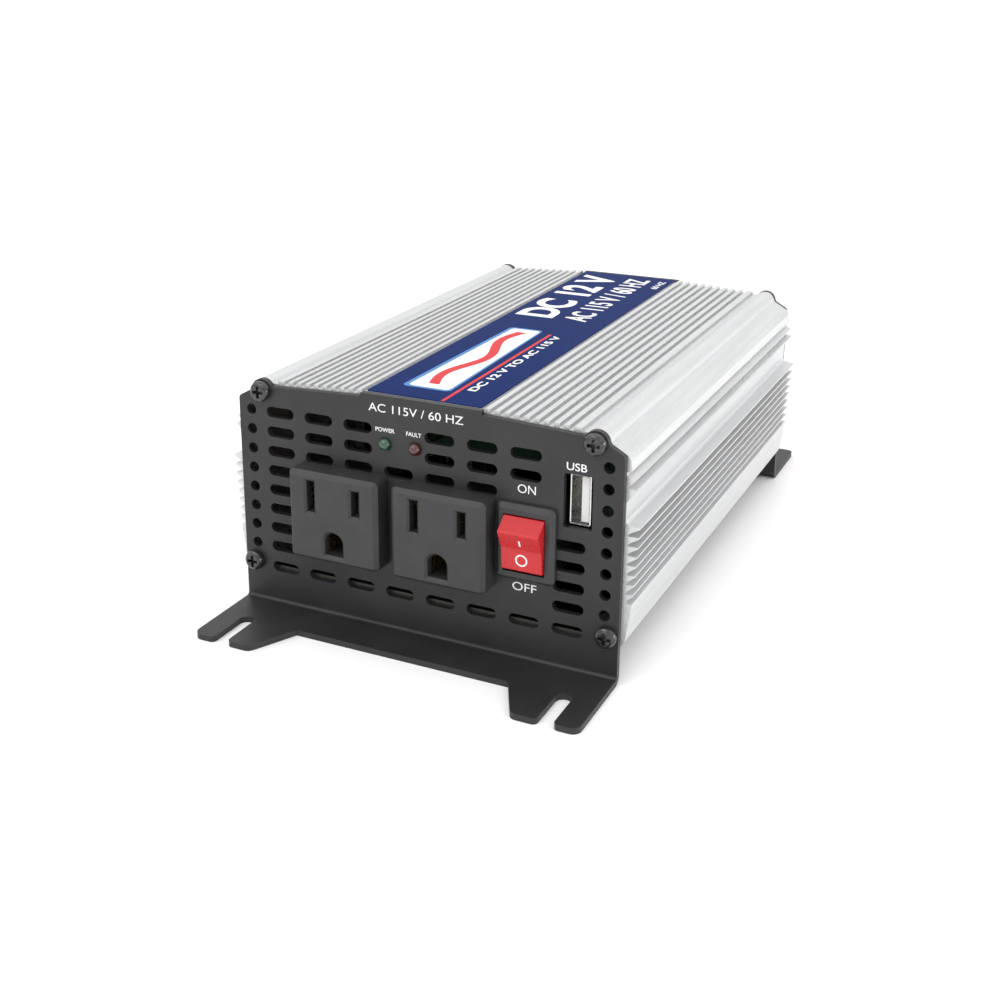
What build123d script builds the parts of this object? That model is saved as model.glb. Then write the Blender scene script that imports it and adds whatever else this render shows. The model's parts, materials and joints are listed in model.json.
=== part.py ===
from build123d import *
import os
from math import cos, pi, radians, sin

# Power inverter, in millimetres. X runs across the end plates, Y runs from the outlet plate (-Y)
# to the battery plate (+Y), and Z is up from the surface that the four feet stand on.

# ---- Driving sizes -------------------------------------------------------------------------------
# Housing extrusion
housing_length = 148.0
housing_bottom = 8.3        # underside of the extrusion above the feet's underside
wall_inset = 1.7            # side wall's inside face, in from the plates' edge
cavity_top = 58.8
corner_wall = 1.7           # shoulder to the top of each side wall's inside face
platform_half = 15.9        # raised flat that carries the label
platform_top = 63.0
label_thickness = 0.2
label_margin = 0.8          # label's width and length short of the raised flat
rib_pitch = 2.48            # top ribs on each side of the label
rib_first_x = 17.3
rib_top = 63.3
rib_fall = 0.051            # drop of the rib tips for each millimetre outwards
rib_depth = 1.1
rib_gap = 1.25
rib_field_inset = 4.0       # last rib to the upper screw, at least
fin_count = 9               # lower side fins
fin_pitch = 2.42
fin_first_z = 40.2          # flat top of the highest
fin_reach = 3.6             # fin tips beyond the plates' edge
fin_lean = 0.066            # inward lean of the fin tips for each millimetre down
fin_nose = 0.35             # upright part of each tip
fin_root_reach = 0.6
fin_root_flat = 0.4
ledge_rise = 0.5            # recess floor above the highest fin's tip
recess_reach = 0.15         # flat groove between the two sets of fins
recess_corner = 0.9
upper_profile = (           # reach beyond the plates' edge and height, recess to shoulder
    (0.15, 45.9), (2.2, 48.9), (2.3, 49.2), (0.2, 49.5), (1.8, 51.1), (1.9, 51.4),
    (0.0, 52.4), (0.0, 53.2), (1.1, 53.5), (1.2, 53.8), (0.9, 56.0),
)
lip_reach = 5.6             # inward reach of the lips that hold the bottom plate
lip_thickness = 1.6
groove_reach = 2.6          # how far the bottom plate runs under the side walls' feet

# End plates
plate_thickness = 1.6
plate_width = 103.8
plate_top = 62.0            # upper edge beside the tab
plate_top_fall = 0.046      # drop of the upper edge for each millimetre outwards
tab_top = 63.05
tab_half = 16.4
tab_corner = 0.5
shoulder_z = 57.3
shoulder_slope = 0.57       # rise from the plates' corner towards the ear
shoulder_radius = 1.3
ear_foot_radius = 1.2
bend_radius = 0.9
flange_reach = 12.0         # straight flange edge in front of the plate's outer face
foot_reach = 24.6           # tip of each foot in front of the plate's outer face
foot_inner_root_inset = 22.6
foot_inner_tip_inset = 16.5
foot_corner = 2.2
foot_slot_inset = 8.1
foot_slot_width = 4.0
foot_slot_depth = 13.4
foot_mouth_radius = 1.3

# Screws that hold the end plates
upper_screw_inset = 7.0     # in from the plates' edge
upper_screw_z = 59.5
lower_screw_inset = 2.9
lower_screw_z = 12.4
ear_radius = 3.05
boss_inner_radius = 3.3
screw_radius = 1.45
screw_length = 8.0
screw_head_radius = 2.7
screw_head_height = 2.0
thread_clearance = 0.05
hole_clearance = 0.25

# Vent field in the outlet plate
vent_columns = 8
vent_pitch_share = 0.2168   # of the plate's half width
vent_centre_x = -0.3
vent_length = 8.0
vent_height = 2.8
vent_rows = 8
vent_pitch_z = 5.25
vent_first_z = 54.2
vent_last_row_z = 11.6      # the ninth row, set off from the others
round_vent_inset = 3.65
round_vent_diameter = 2.8

# Row of fittings on the outlet plate: each offset is from the middle of the row
row_half = 39.15
row_share = 0.41            # how much of the spare width the row sits towards +X
outlet_offsets = (-26.53, 2.37)
switch_offset = 23.17
usb_offset = 35.72
lamp_offsets = (-14.63, -6.43)

# Mains outlets (NEMA 5-15)
outlet_z = 30.7
outlet_width = 25.2
outlet_height = 23.7
outlet_proud = 6.5
outlet_depth = 18.0         # behind the plate's outer face
outlet_chamfer = 1.1
outlet_seat = 1.2           # how far the block overlaps its cut-out on each side
blade_spacing = 12.7
blade_z = 36.0
ground_drop = 11.9
blade_slot_width = 2.2
neutral_slot_height = 8.2
hot_slot_height = 6.6
ground_hole_width = 5.3
ground_hole_height = 6.1
outlet_lead_in = 0.6
contact_sheet = 0.5
contact_front = 3.0         # outlet face to the mouth of a contact
contact_length = 13.0
contact_tail = 7.0

# Rocker switch
switch_z = 32.2
bezel_width = 15.0
bezel_height = 19.4
bezel_proud = 2.0
bezel_bevel = 1.1
switch_box_width = 12.2
switch_box_height = 17.6
switch_box_depth = 16.0
rocker_width = 10.3
rocker_radius = 7.1
rocker_apex_w = 5.4
rocker_apex_u = 4.55
rocker_valley_u = 3.5
rocker_tilt = 15.0          # each way from level
rocker_play = 0.2
trunnion_radius = 1.1
trunnion_length = 0.65
trunnion_clearance = 0.05
panel_clearance = 0.1       # boxed parts in their panel cut-outs

# USB outlet, indicator lamps and the board behind them
usb_z = 44.6
usb_cut_width = 7.1
usb_cut_height = 13.35
usb_shell_width = 5.12
usb_shell_height = 12.5
usb_shell_sheet = 0.3
usb_shell_length = 13.0
usb_tongue_thickness = 1.84
usb_tongue_width = 11.1
usb_tongue_gap = 0.35       # tongue's back to the shell
lamp_z = 50.8
lamp_diameter = 3.3
lamp_hole_clearance = 0.1
lamp_proud = 1.7
indicator_board_gap = 14.0  # inside face of the outlet plate to the indicator board
board_thickness = 1.6

# Main board and what stands on it
bottom_plate_thickness = 1.6
groove_clearance = 0.1
standoff_height = 6.0
standoff_radius = 3.0
board_inset = 4.9           # board's edge in from the plates' edge
board_front = -44.0
board_back = 60.0
transformer_x, transformer_y = -14.0, 18.0
transformer_width, transformer_depth, transformer_height = 42.0, 15.0, 34.0
bobbin_flange = 17.0        # bobbin's flanges beyond the core's middle limb
choke_x, choke_y = -16.0, -22.0
choke_outer, choke_inner, choke_height = 13.0, 7.0, 11.0
input_capacitor_radius, input_capacitor_height = 8.0, 31.0
bus_capacitor_radius, bus_capacitor_height = 9.0, 33.0
capacitor_x = 24.0
transistor_width, transistor_height, transistor_thickness = 10.0, 15.0, 4.4
transistor_count = 4
transistor_pitch = 20.0
transistor_z = 33.0
pad_thickness = 0.3
clamp_thickness = 3.0
clamp_height = 9.0

# Fan
fan_x, fan_z = -22.0, 36.0
fan_size = 40.0
fan_depth = 10.0
fan_bore = 38.0
fan_screw_spacing = 32.0
fan_hub_radius = 11.5
fan_blades = 7
fan_shaft_radius = 1.0
fan_shaft_clearance = 0.05
guard_wire = 1.6
guard_rings = (6.5, 12.0, 17.5)

# Battery terminals
post_x = {"red": 38.0, "black": 13.5}
post_z = 36.0
stud_radius = 3.0
stud_clearance = 0.06
post_base_radius = 8.0
post_base_proud = 7.4
post_sleeve_radius = 5.0
post_washer_radius = 6.5
post_washer_thickness = 1.2
knob_radius = 7.6
knob_length = 13.0
strap_width = 12.0
strap_thickness = 1.5
strap_seat_length = 8.0     # strap's foot on the main board
nut_across_flats = 10.0
nut_height = 5.0
ground_x, ground_z = 25.8, 17.0
ground_screw_radius = 2.0
fan_screw_radius = 1.5
clamp_screw_radius = 1.5
board_screw_radius = 1.5

# ---- Derived places ------------------------------------------------------------------------------
half_length = housing_length / 2
plate_face = half_length + plate_thickness      # distance of each plate's outer face from the middle
half_width = plate_width / 2
row_x = row_share * (half_width - row_half)
outlet_x = tuple(row_x + offset for offset in outlet_offsets)
lamp_x = tuple(row_x + offset for offset in lamp_offsets)
switch_x = row_x + switch_offset
usb_x = row_x + usb_offset
wall_x = half_width - wall_inset
lower_boss_radius = lower_screw_z - housing_bottom
fin_tip_x = half_width + fin_reach
fin_root_x = half_width + fin_root_reach
recess_x = half_width + recess_reach
upper_screw_x = half_width - upper_screw_inset
lower_screw_x = half_width - lower_screw_inset
round_vent_x = (round_vent_inset - half_width, half_width - round_vent_inset)
vent_pitch_x = vent_pitch_share * half_width
board_width = 2 * (half_width - board_inset)
rib_count = 1 + int((upper_screw_x - rib_field_inset - rib_first_x) / rib_pitch)
lip_x = wall_x - lip_reach
groove_x = lip_x + groove_reach
groove_floor = housing_bottom + 1.2
groove_height = bottom_plate_thickness + 2 * groove_clearance
lip_top = groove_floor + groove_height + lip_thickness
bottom_plate_z = groove_floor + groove_clearance
bottom_plate_top = bottom_plate_z + bottom_plate_thickness
board_bottom = bottom_plate_top + standoff_height
board_top = board_bottom + board_thickness
screw_places = [(sx * upper_screw_x, upper_screw_z) for sx in (-1, 1)]
screw_places += [(sx * lower_screw_x, lower_screw_z) for sx in (-1, 1)]
outlet_contact_rows = (
    ("neutral", -blade_spacing / 2, 0.0, blade_slot_width, neutral_slot_height),
    ("hot", blade_spacing / 2, 0.0, blade_slot_width, hot_slot_height),
    ("ground", 0.0, -ground_drop, ground_hole_width, ground_hole_height),
)

parts = {}


# ---- Helpers -------------------------------------------------------------------------------------
def along_y(sketch, y_low, y_high):
    """Extrude a sketch drawn in X and Z between two Y places."""
    plane = Plane(origin=(0, y_high, 0), x_dir=(1, 0, 0), z_dir=(0, -1, 0))
    return extrude(plane * sketch, amount=y_high - y_low, dir=(0, -1, 0))


def flared_y(sketch, y_low, y_high):
    """As along_y, but widening at 45 degrees towards -Y."""
    plane = Plane(origin=(0, y_high, 0), x_dir=(1, 0, 0), z_dir=(0, -1, 0))
    return extrude(plane * sketch, amount=y_high - y_low, taper=-45)


def along_x(sketch, x_low, x_high):
    """Extrude a sketch drawn in Y and Z between two X places."""
    plane = Plane(origin=(x_low, 0, 0), x_dir=(0, 1, 0), z_dir=(1, 0, 0))
    return extrude(plane * sketch, amount=x_high - x_low, dir=(1, 0, 0))


def along_z(sketch, z_low, z_high):
    """Extrude a sketch drawn in X and Y between two Z places."""
    return extrude(Plane.XY.offset(z_low) * sketch, amount=z_high - z_low, dir=(0, 0, 1))


def outline(points):
    return Polygon(*points, align=None)


def block(x_low, x_high, y_low, y_high, z_low, z_high):
    size = (x_high - x_low, y_high - y_low, z_high - z_low)
    middle = ((x_high + x_low) / 2, (y_high + y_low) / 2, (z_high + z_low) / 2)
    return Pos(*middle) * Box(*size)


def rod_y(radius, y_low, y_high, x=0.0, z=0.0):
    return along_y(Pos(x, z) * Circle(radius), y_low, y_high)


def both_sides(sketch):
    return sketch + mirror(sketch, about=Plane.YZ)


def bevelled_front(x, z, width, height, y_front, bevel):
    """A block standing on the outlet plate, bevelled round its front face."""
    sketch = Pos(x, z) * RectangleRounded(width, height, bevel + 0.2)
    body = along_y(sketch, y_front, -plate_face)
    return chamfer(body.faces().sort_by(Axis.Y)[0].edges(), bevel)


def fillet_corners(sketch, places, radius):
    """Round the corners of a sketch that lie nearest to the given places."""
    vertices = sketch.vertices()
    chosen = [min(vertices, key=lambda v: (v.X - x) ** 2 + (v.Y - y) ** 2) for x, y in places]
    return fillet(chosen, radius)


def pan_screw(head_radius, head_height, shank_radius, shank_length):
    """A cross-recessed pan-head screw, head up, seated on Z = 0."""
    head = Pos(0, 0, head_height / 2) * Cylinder(head_radius, head_height)
    head = fillet(head.edges().group_by(Axis.Z)[-1], head_height * 0.55)
    shank = Pos(0, 0, -shank_length / 2) * Cylinder(shank_radius, shank_length)
    shank = chamfer(shank.edges().group_by(Axis.Z)[0], shank_radius * 0.3)
    screw = head + shank
    recess_depth = head_height * 0.6
    for angle in (0, 90):
        arm = Box(head_radius * 1.15, head_radius * 0.3, recess_depth * 2)
        screw -= Pos(0, 0, head_height) * Rot(0, 0, angle) * arm
    return screw


def hex_nut(across_flats, height, bore_radius):
    """A hexagon nut, chamfered on its upper corners, standing on Z = 0."""
    corner_radius = across_flats / 2 / cos(pi / 6)
    nut = extrude(RegularPolygon(corner_radius, 6), amount=height)
    cone = Cone(corner_radius + height * 1.6, corner_radius * 0.9, height * 1.0)
    nut &= Pos(0, 0, height / 2) * cone
    return nut - Pos(0, 0, height / 2) * Cylinder(bore_radius, height)


def facing_front(shape, x, y, z):
    """Turn a shape's +Z to -Y and put its origin at the place."""
    return Pos(x, y, z) * Rot(90, 0, 0) * shape


def facing_back(shape, x, y, z):
    """Turn a shape's +Z to +Y and put its origin at the place."""
    return Pos(x, y, z) * Rot(-90, 0, 0) * shape


# ---- Housing -------------------------------------------------------------------------------------
def top_line(x):
    return rib_top - rib_fall * (x - rib_first_x)


def fin_tip(z):
    return fin_tip_x - fin_lean * (fin_first_z - z)


def plate_top_line(x):
    return plate_top - plate_top_fall * (x - tab_half)


def shoulder_line(x):
    return shoulder_z + shoulder_slope * (half_width - x)


def with_ear(half, radius):
    """Add the round ear over the upper screw and blend it into the shoulder below it."""
    half += Pos(upper_screw_x, upper_screw_z) * Circle(radius)
    foot_x = upper_screw_x + radius
    return fillet_corners(half, [(foot_x, shoulder_line(foot_x))], ear_foot_radius)


def lower_fins():
    """Profile of the lower fins from the bottom up: flat on top, undercut below, tips leaning in."""
    points = []
    for index in reversed(range(fin_count)):
        top = fin_first_z - fin_pitch * index
        if index < fin_count - 1:
            points.append((fin_root_x, top - fin_pitch + fin_root_flat))
        points += [(fin_tip(top), top - fin_nose), (fin_tip(top), top), (fin_root_x, top)]
    return points[:-1]


def housing_outer():
    """Right half of the extrusion's outside, with its ribs and fins."""
    rib_end = rib_first_x + rib_pitch * (rib_count - 0.5)
    field_edge = top_line(rib_end) - rib_depth * 0.7
    ear_inside_x = upper_screw_x + ear_radius / 3
    points = [
        (0, housing_bottom),
        (lower_screw_x, lower_screw_z - lower_boss_radius),
        (lower_screw_x + lower_boss_radius, lower_screw_z),
        *lower_fins(),
        (recess_x, fin_first_z + ledge_rise),
        *[(half_width + reach, z) for reach, z in upper_profile],
        (half_width + 0.1, shoulder_z),
        (ear_inside_x, shoulder_line(ear_inside_x)),
        (upper_screw_x, field_edge),
        (rib_end, field_edge),
        (rib_end, top_line(rib_end)),
        (platform_half, top_line(platform_half)),
        (platform_half, platform_top),
        (0, platform_top),
    ]
    half = outline(points)
    half = fillet_corners(half, [(recess_x, fin_first_z + ledge_rise)], recess_corner)
    half = fillet_corners(half, [(half_width + 0.1, shoulder_z)], shoulder_radius)
    half += Pos(lower_screw_x, lower_screw_z) * Circle(lower_boss_radius)
    half = with_ear(half, ear_radius - 0.1)
    for index in range(rib_count):
        x = rib_first_x + rib_pitch * (index - 0.5)
        half -= Pos(x, top_line(x)) * RectangleRounded(rib_gap, rib_depth * 2, rib_gap * 0.3)
    return half


def housing_inner():
    """Right half of the extrusion's hollow, round the screw bosses and the bottom-plate lips."""
    half = outline([
        (0, lip_top),
        (wall_x, lip_top),
        (wall_x, shoulder_z - corner_wall),
        (upper_screw_x, upper_screw_z - boss_inner_radius),
        (upper_screw_x - boss_inner_radius, cavity_top),
        (0, cavity_top),
    ])
    half -= Pos(upper_screw_x, upper_screw_z) * Circle(boss_inner_radius)
    half -= Pos(lower_screw_x, lower_screw_z) * Circle(boss_inner_radius)
    half += outline([(0, housing_bottom), (lip_x, housing_bottom), (lip_x, lip_top), (0, lip_top)])
    groove_top = groove_floor + groove_height
    half += outline([(0, groove_floor), (groove_x, groove_floor), (groove_x, groove_top), (0, groove_top)])
    return half


def housing():
    profile = both_sides(housing_outer()) - both_sides(housing_inner())
    for x, z in screw_places:
        profile -= Pos(x, z) * Circle(screw_radius + thread_clearance)
    body = along_y(profile, -half_length, half_length)
    for side in (-1, 1):
        for y in clamp_screw_places():
            drill = Rot(0, 90, 0) * Cylinder(clamp_screw_radius + thread_clearance, 3.0)
            body -= Pos(side * (wall_x + 0.5), y, transistor_z) * drill
    return body


def bottom_plate():
    half = groove_x - groove_clearance
    return block(-half, half, -half_length, half_length, bottom_plate_z, bottom_plate_top)


def top_label():
    sheet = RectangleRounded(platform_half * 2 - label_margin, housing_length - label_margin, 0.5)
    return along_z(sheet, platform_top, platform_top + label_thickness)


# ---- End plates ----------------------------------------------------------------------------------
def plate_outline():
    """Plate seen square on, with a raised middle tab and an ear round each upper screw."""
    ear_inside_x = upper_screw_x + ear_radius / 3
    half = outline([
        (0, 0),
        (half_width, 0),
        (half_width, shoulder_z),
        (ear_inside_x, shoulder_line(ear_inside_x)),
        (upper_screw_x, plate_top_line(upper_screw_x)),
        (tab_half, plate_top),
        (tab_half, tab_top),
        (0, tab_top),
    ])
    half = with_ear(half, ear_radius)
    half = fillet_corners(half, [(half_width, shoulder_z)], shoulder_radius)
    half = fillet_corners(half, [(tab_half, tab_top)], tab_corner)
    return both_sides(half)


def foot_outline():
    """Flange and feet seen from above, from the plate's back face outwards to the toes."""
    back = -half_length
    edge = -plate_face - flange_reach
    toe = -plate_face - foot_reach
    inner_tip_x = half_width - foot_inner_tip_inset
    foot_slot_x = half_width - foot_slot_inset
    half = outline([
        (0, back),
        (half_width, back),
        (half_width, toe),
        (inner_tip_x, toe),
        (half_width - foot_inner_root_inset, edge),
        (0, edge),
    ])
    slot_end = toe + foot_slot_depth
    half -= Pos(foot_slot_x, slot_end - foot_slot_width / 2) * Circle(foot_slot_width / 2)
    slot_low, slot_high = foot_slot_x - foot_slot_width / 2, foot_slot_x + foot_slot_width / 2
    slot_straight = slot_end - foot_slot_width / 2
    half -= outline([
        (slot_low, toe - 1),
        (slot_high, toe - 1),
        (slot_high, slot_straight),
        (slot_low, slot_straight),
    ])
    mouth = [(slot_low, toe), (slot_high, toe)]
    half = fillet_corners(half, mouth, foot_mouth_radius)
    toes = [(half_width, toe), (inner_tip_x, toe)]
    return both_sides(fillet_corners(half, toes, foot_corner))


def plate_blank():
    """Bent plate at the outlet end: upright and flange in one sheet, bent forwards at the bottom."""
    face, back = -plate_face, -half_length
    section = outline([
        (back, 0),
        (back, tab_top + 1),
        (face, tab_top + 1),
        (face, plate_thickness),
        (face - foot_reach, plate_thickness),
        (face - foot_reach, 0),
    ])
    section = fillet_corners(section, [(back, 0)], bend_radius + plate_thickness)
    section = fillet_corners(section, [(face, plate_thickness)], bend_radius)
    sheet = along_x(section, -half_width, half_width)
    sheet &= along_y(plate_outline(), face - foot_reach - 1, back)
    sheet &= along_z(foot_outline(), -1, tab_top + 2)
    for x, z in screw_places:
        sheet -= rod_y(screw_radius + hole_clearance, face - 1, back + 1, x, z)
    return sheet


def cut_through(sheet, sketch):
    """Punch a sketch through the outlet-end plate."""
    return sheet - along_y(sketch, -plate_face - 1, -half_length + 0.5)


def vent_x(column):
    return vent_centre_x + vent_pitch_x * (column - (vent_columns + 1) / 2)


def vent_z(row):
    return vent_last_row_z if row > vent_rows else vent_first_z - vent_pitch_z * (row - 1)


def vent_is_open(column, row):
    """Slots that aren't taken up by the lamps, the outlets, the switch or the USB opening."""
    if row == vent_rows + 1 or column == 1:
        return True
    if column == vent_columns:
        return row >= 5
    if column == 4:
        return row == 3
    if column == 7:
        return row <= 2
    return row <= 3


def outlet_cut(x):
    width = outlet_width - 2 * outlet_seat
    height = outlet_height - 2 * outlet_seat
    return Pos(x, outlet_z) * RectangleRounded(width, height, 1.0)


def front_plate():
    sheet = plate_blank()
    holes = Pos(usb_x, usb_z) * RectangleRounded(usb_cut_width, usb_cut_height, 0.5)
    cut_width = switch_box_width + 2 * panel_clearance
    cut_height = switch_box_height + 2 * panel_clearance
    holes += Pos(switch_x, switch_z) * Rectangle(cut_width, cut_height)
    for x in outlet_x:
        holes += outlet_cut(x)
    for x in lamp_x:
        holes += Pos(x, lamp_z) * Circle(lamp_diameter / 2 + lamp_hole_clearance)
    for x in round_vent_x:
        for row in range(1, vent_rows + 1):
            holes += Pos(x, vent_z(row)) * Circle(round_vent_diameter / 2)
    for column in range(1, vent_columns + 1):
        for row in range(1, vent_rows + 2):
            if vent_is_open(column, row):
                holes += Pos(vent_x(column), vent_z(row)) * SlotOverall(vent_length, vent_height)
    return cut_through(sheet, holes)


def rear_plate():
    sheet = plate_blank()
    holes = Pos(fan_x, fan_z) * Circle(fan_bore / 2)
    for x, z in fan_screw_places():
        holes += Pos(x, z) * Circle(fan_screw_radius + hole_clearance)
    for x in post_x.values():
        holes += Pos(x, post_z) * Circle(post_sleeve_radius + panel_clearance)
    holes += Pos(ground_x, ground_z) * Circle(ground_screw_radius + thread_clearance)
    for column in range(5, vent_columns + 1):
        for row in (1, 2):
            x = vent_x(column) - vent_centre_x
            holes += Pos(x, vent_z(row)) * SlotOverall(vent_length, vent_height)
    return mirror(cut_through(sheet, holes), about=Plane.XZ)


def plate_screws(facing, y):
    screws = []
    for x, z in screw_places:
        screw = pan_screw(screw_head_radius, screw_head_height, screw_radius, screw_length)
        screws.append(facing(screw, x, y, z))
    return Compound(children=screws)


# ---- Mains outlets -------------------------------------------------------------------------------
def outlet_hole(kind, width, height):
    """Blade slot, or the ground pin's hole with a flat bottom and an arched top."""
    if kind != "ground":
        return Rectangle(width, height)
    arch = Circle(width / 2)
    straight = height - width / 2
    foot = Pos(0, -(height - straight) / 2) * Rectangle(width, straight)
    return Pos(0, height / 2 - width / 2) * arch + foot


def contact_pocket_size(width, height):
    clearance = 0.15
    pocket_width = width + 2 * contact_sheet + 2 * clearance
    return pocket_width, height + 1.0


def outlet_body(centre_x):
    face = -plate_face - outlet_proud
    back = -plate_face + outlet_depth
    body = bevelled_front(centre_x, outlet_z, outlet_width, outlet_height, face, outlet_chamfer)
    neck_width = outlet_width - 2 * outlet_seat - 2 * panel_clearance
    neck_height = outlet_height - 2 * outlet_seat - 2 * panel_clearance
    neck = Pos(centre_x, outlet_z) * RectangleRounded(neck_width, neck_height, 0.9)
    body += along_y(neck, -plate_face, back)
    for kind, dx, dz, width, height in outlet_contact_rows:
        place = Pos(centre_x + dx, blade_z + dz)
        hole = along_y(place * outlet_hole(kind, width, height), face - 1, face + contact_front + 0.5)
        body -= hole + flared_y(place * outlet_hole(kind, width, height), face, face + outlet_lead_in)
        pocket_width, pocket_height = contact_pocket_size(width, height)
        body -= along_y(place * Rectangle(pocket_width, pocket_height), face + contact_front, back + 1)
    return body


def outlet_contact(centre_x, kind, dx, dz, width, height):
    """Two spring leaves either side of the blade, joined at the back by a bridge with a tail."""
    mouth = -plate_face - outlet_proud + contact_front
    back = mouth + contact_length
    x, z = centre_x + dx, blade_z + dz
    leaf_x = width / 2
    low, high = z - height / 2, z + height / 2
    contact = block(x - leaf_x - contact_sheet, x - leaf_x, mouth, back, low, high)
    contact += block(x + leaf_x, x + leaf_x + contact_sheet, mouth, back, low, high)
    bridge = (x - leaf_x - contact_sheet, x + leaf_x + contact_sheet, back, back + contact_sheet, low, high)
    contact += block(*bridge)
    tail_back = -plate_face + outlet_depth + contact_tail
    tail_half = min(height, 6.3) / 2
    contact += block(x - 0.4, x + 0.4, back, tail_back, z - tail_half, z + tail_half)
    return contact


# ---- Rocker switch -------------------------------------------------------------------------------
def switch_body():
    front = -plate_face - bezel_proud
    back = -plate_face + switch_box_depth
    bezel = bevelled_front(switch_x, switch_z, bezel_width, bezel_height, front, bezel_bevel)
    body = bezel + along_y(
        Pos(switch_x, switch_z) * Rectangle(switch_box_width, switch_box_height), -plate_face, back)
    opening_width = rocker_width + 2 * rocker_play
    opening_height = 2 * (rocker_radius + rocker_play)
    opening = Pos(switch_x, switch_z) * Rectangle(opening_width, opening_height)
    body -= along_y(opening, front - 1, back - 4.0)
    trunnion_reach = rocker_width / 2 + trunnion_length + 0.1
    hole = Cylinder(trunnion_radius + trunnion_clearance, trunnion_reach * 2)
    body -= Pos(switch_x, -plate_face, switch_z) * Rot(0, 90, 0) * hole
    for sign in (-1, 1):
        slot = switch_terminal_slot(sign)
        body -= block(*slot)
    return body


def switch_terminal_slot(sign):
    z = switch_z + sign * 5.0
    back = -plate_face + switch_box_depth
    return (switch_x - 2.4, switch_x + 2.4, back - 4.5, back + 8.0, z - 0.4, z + 0.4)


def switch_rocker():
    """Rocker drawn level round its pivot, then tilted with its lower half pressed in."""
    end = rocker_radius
    apex_u, apex_w = rocker_apex_u, rocker_apex_w
    section = outline([
        (-rocker_valley_u, 0),
        (-apex_u, -apex_w),
        (0, -end),
        (2.4, -end * 0.9),
        (4.4, -2.0),
        (4.4, 2.0),
        (2.4, end * 0.9),
        (0, end),
        (-apex_u, apex_w),
    ])
    section = fillet_corners(section, [(-apex_u, -apex_w), (-apex_u, apex_w)], 0.4)
    section = fillet_corners(section, [(-rocker_valley_u, 0)], 3.0)
    rocker = along_x(section, -rocker_width / 2, rocker_width / 2)
    pin_length = rocker_width + 2 * trunnion_length
    rocker += Rot(0, 90, 0) * Cylinder(trunnion_radius, pin_length)
    return Pos(switch_x, -plate_face, switch_z) * Rot(rocker_tilt, 0, 0) * rocker


# ---- USB outlet, lamps and their board -----------------------------------------------------------
def usb_front_y():
    return -half_length + panel_clearance


def usb_tongue_x():
    shell_inside = usb_x + usb_shell_width / 2 - usb_shell_sheet
    return shell_inside - usb_tongue_gap - usb_tongue_thickness / 2


def usb_shell():
    y = usb_front_y()
    place = Pos(usb_x, usb_z)
    outer = place * RectangleRounded(usb_shell_width, usb_shell_height, 0.5)
    sheet = 2 * usb_shell_sheet
    inner = place * RectangleRounded(usb_shell_width - sheet, usb_shell_height - sheet, 0.25)
    return along_y(outer - inner, y, y + usb_shell_length)


def usb_tongue():
    y = usb_front_y()
    sheet = 2 * usb_shell_sheet
    place = Pos(usb_x, usb_z)
    rear = along_y(place * RectangleRounded(usb_shell_width - sheet, usb_shell_height - sheet, 0.25),
                   y + 9.0, y + usb_shell_length)
    tongue = Pos(usb_tongue_x(), usb_z) * Rectangle(usb_tongue_thickness, usb_tongue_width)
    tongue = along_y(tongue, y + 0.6, y + 9.0)
    return rear + tongue - usb_contact_group()


def usb_contact_group():
    """Four contact strips let into the tongue's face."""
    face_x = usb_tongue_x() - usb_tongue_thickness / 2
    y = usb_front_y()
    strips = []
    for offset, front in ((-3.5, 1.0), (-1.0, 2.0), (1.0, 2.0), (3.5, 1.0)):
        z = usb_z + offset
        strips.append(block(face_x, face_x + 0.3, y + front, y + 8.8, z - 0.5, z + 0.5))
    return Compound(children=strips)


def indicator_board():
    y = usb_front_y() + usb_shell_length
    back = y + board_thickness
    top = upper_screw_z - boss_inner_radius - 1.0
    board = block(lamp_x[0] - 6, usb_x + 6, y, back, 45.0, top)
    board += block(usb_x - 4.5, usb_x + 6, y, back, usb_z - 8.0, 46.0)
    for x in lamp_x:
        for lead in (-1.27, 1.27):
            board -= block(x + lead - 0.35, x + lead + 0.35, y - 1, back + 1, lamp_z - 0.35, lamp_z + 0.35)
    return board


def lamp(x):
    """Round-nosed lamp with a rim behind the plate and two leads into its board."""
    radius = lamp_diameter / 2
    tip = -plate_face - lamp_proud
    rim_front = -half_length
    lens = rod_y(radius, tip + radius, rim_front + 1.0, x, lamp_z)
    lens += Pos(x, tip + radius, lamp_z) * Sphere(radius)
    lens += rod_y(radius + 0.4, rim_front, rim_front + 1.0, x, lamp_z)
    back = usb_front_y() + usb_shell_length + board_thickness + 0.8
    for lead in (-1.27, 1.27):
        lens += block(x + lead - 0.25, x + lead + 0.25, rim_front + 0.9, back, lamp_z - 0.25, lamp_z + 0.25)
    return lens


# ---- Main board ----------------------------------------------------------------------------------
def board_screw_places():
    x = board_width / 2 - 6.0
    ys = (board_front + 5.0, (board_front + board_back) / 2, board_back - strap_seat_length - 8.0)
    return [(sx * x, y) for sx in (-1, 1) for y in ys]


def main_board():
    middle = (board_front + board_back) / 2
    sheet = Pos(0, middle) * RectangleRounded(board_width, board_back - board_front, 1.5)
    for x, y in board_screw_places():
        sheet -= Pos(x, y) * Circle(board_screw_radius + hole_clearance)
    for side in (-1, 1):
        for x, y in transistor_lead_places(side):
            sheet -= Pos(x, y) * Rectangle(0.9, 1.1)
    return along_z(sheet, board_bottom, board_top)


def board_standoffs():
    standoffs = []
    for x, y in board_screw_places():
        ring = Pos(x, y) * (Circle(standoff_radius) - Circle(board_screw_radius + thread_clearance))
        standoffs.append(along_z(ring, bottom_plate_top, board_bottom))
    return Compound(children=standoffs)


def board_screws():
    screw = pan_screw(2.8, 1.8, board_screw_radius, board_thickness + 4.0)
    return Compound(children=[Pos(x, y, board_top) * screw for x, y in board_screw_places()])


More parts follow.
